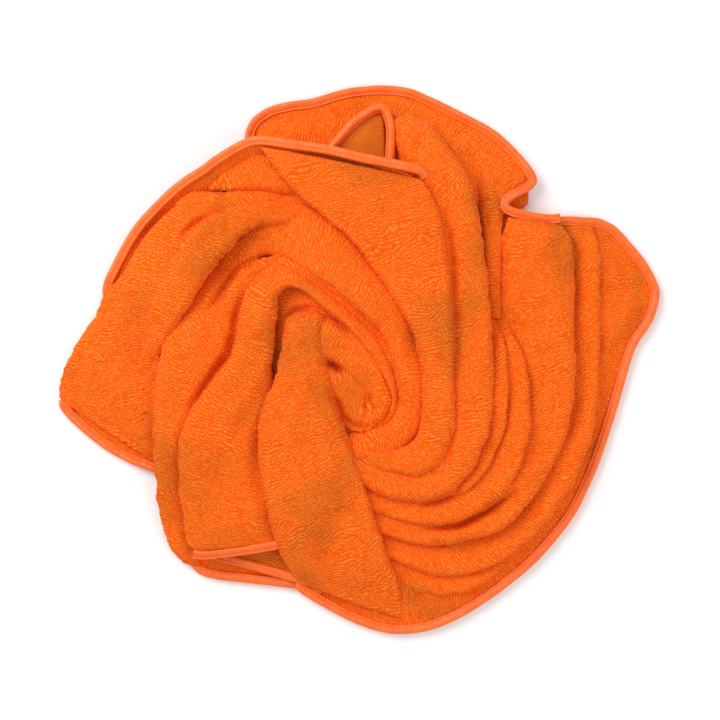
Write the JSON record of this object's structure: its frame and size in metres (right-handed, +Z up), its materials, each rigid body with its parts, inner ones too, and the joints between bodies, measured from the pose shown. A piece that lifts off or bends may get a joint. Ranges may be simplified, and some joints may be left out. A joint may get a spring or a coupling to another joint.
{
  "type": "quick dry towel",
  "caption": "Plush quick dry travel towel with a satin bound edge, gathered into a soft swirled heap lying flat.",
  "frame": {"origin": "middle of the heap's footprint, on the surface that it rests on", "axes": "+X along the heap's longest side, from the twice folded left end to the rounded right corner; +Y towards the hemmed top lobe; +Z up, through the heap's height"},
  "size_m": [0.6343, 0.5847, 0.0625],
  "materials": {
    "terry": "short plush microfibre pile, orange",
    "satin_tape": "satin weave tape, orange, soft lengthwise gloss",
    "sewing_thread": "polyester sewing thread, orange"
  },
  "bodies": {
    "root": {"terry_cloth": "terry", "edge_binding": "satin_tape", "needle_thread": "sewing_thread", "bobbin_thread": "sewing_thread"}
  },
  "joints": []
}
